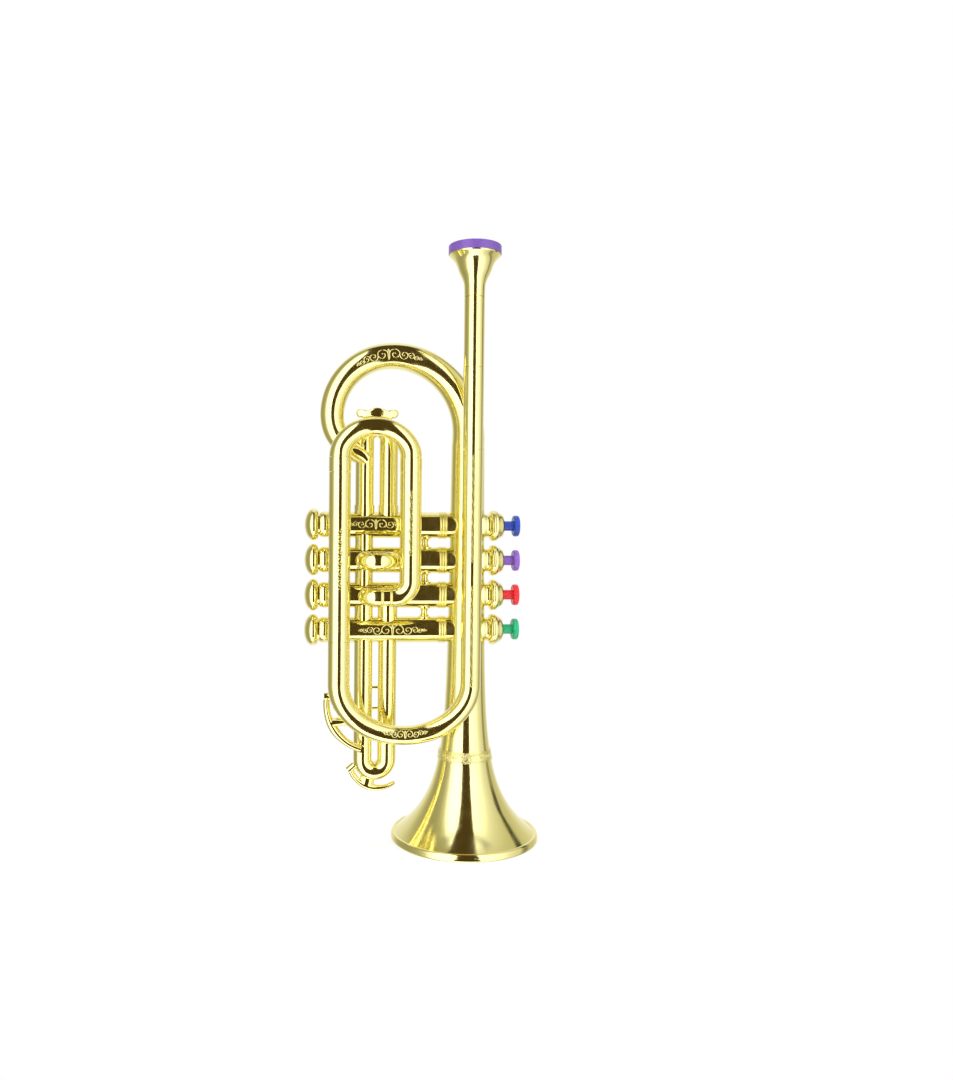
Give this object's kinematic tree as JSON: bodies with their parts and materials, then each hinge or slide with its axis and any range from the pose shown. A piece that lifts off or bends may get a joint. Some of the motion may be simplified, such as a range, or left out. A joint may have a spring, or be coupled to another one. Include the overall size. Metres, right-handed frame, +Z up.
{
  "type": "toy trumpet",
  "caption": "Toy trumpet standing on its bell, with a leadpipe loop, cross-mounted valves with coloured keys that press in, slides, finger hooks and a soft mouthpiece rim",
  "frame": {"origin": "centre of the bell rim, in the plane that the rim stands on", "axes": "+Z up the bell axis to the mouthpiece, +X to the finger keys, -Y to the front, where the leadpipe loop lies"},
  "size_m": [0.1454, 0.0912, 0.36],
  "materials": {
    "gold_plating": "ABS with a lemon-gold vacuum metallised skin, mirror bright",
    "purple_rim": "satin moulded purple plastic",
    "blue_key": "glossy moulded blue plastic",
    "purple_key": "glossy moulded purple plastic",
    "red_key": "glossy moulded red plastic",
    "green_key": "glossy moulded green plastic",
    "plain_plastic": "natural moulded plastic",
    "pad_rubber": "soft valve pad",
    "spring_steel": "plain spring wire",
    "reed_brass": "thin sheet"
  },
  "bodies": {
    "trumpet": {"mouthpiece": "gold_plating", "leadpipe_upper": "gold_plating", "leadpipe_middle": "gold_plating", "lower_crook": "gold_plating", "left_leg": "gold_plating", "left_ferrule": "gold_plating", "right_ferrule": "gold_plating", "upper_crook": "gold_plating", "right_leg": "gold_plating", "third_valve_elbow": "gold_plating", "bell_flare": "gold_plating", "bell_stem": "gold_plating", "bell_bow": "gold_plating", "upper_slide": "gold_plating", "lower_slide": "gold_plating", "thumb_saddle": "gold_plating", "finger_hook_upper": "gold_plating", "finger_hook_lower": "gold_plating", "second_valve_crook": "gold_plating", "knuckle_1": "gold_plating", "knuckle_2": "gold_plating", "knuckle_3": "gold_plating", "right_knuckle": "gold_plating", "bridge_posts": "gold_plating", "valve_casing_1": "gold_plating", "valve_casing_2": "gold_plating", "valve_casing_3": "gold_plating", "valve_casing_4": "gold_plating", "bottom_cap_1": "gold_plating", "bottom_cap_2": "gold_plating", "bottom_cap_3": "gold_plating", "bottom_cap_4": "gold_plating", "top_cap_1": "gold_plating", "top_cap_2": "gold_plating", "top_cap_3": "gold_plating", "top_cap_4": "gold_plating", "mouthpiece_rim": "purple_rim", "reeds": "reed_brass", "reed_plate_1": "plain_plastic", "reed_plate_2": "plain_plastic", "reed_plate_3": "plain_plastic", "reed_plate_4": "plain_plastic", "spring_1": "spring_steel", "spring_2": "spring_steel", "spring_3": "spring_steel", "spring_4": "spring_steel"},
    "key_unit_1": {"key_1": "blue_key", "plunger_1": "plain_plastic", "pad_1": "pad_rubber"},
    "key_unit_2": {"key_2": "purple_key", "plunger_2": "plain_plastic", "pad_2": "pad_rubber"},
    "key_unit_3": {"key_3": "red_key", "plunger_3": "plain_plastic", "pad_3": "pad_rubber"},
    "key_unit_4": {"key_4": "green_key", "plunger_4": "plain_plastic", "pad_4": "pad_rubber"}
  },
  "joints": [
    {"name": "key_1_press", "type": "slide", "parent": "trumpet", "child": "key_unit_1", "axis": [-1, 0, 0], "range_m": [0, 0.005], "stiffness_N_per_m": 300, "deforming": ["spring_1"]},
    {"name": "key_2_press", "type": "slide", "parent": "trumpet", "child": "key_unit_2", "axis": [-1, 0, 0], "range_m": [0, 0.005], "stiffness_N_per_m": 300, "deforming": ["spring_2"]},
    {"name": "key_3_press", "type": "slide", "parent": "trumpet", "child": "key_unit_3", "axis": [-1, 0, 0], "range_m": [0, 0.005], "stiffness_N_per_m": 300, "deforming": ["spring_3"]},
    {"name": "key_4_press", "type": "slide", "parent": "trumpet", "child": "key_unit_4", "axis": [-1, 0, 0], "range_m": [0, 0.005], "stiffness_N_per_m": 300, "deforming": ["spring_4"]}
  ]
}
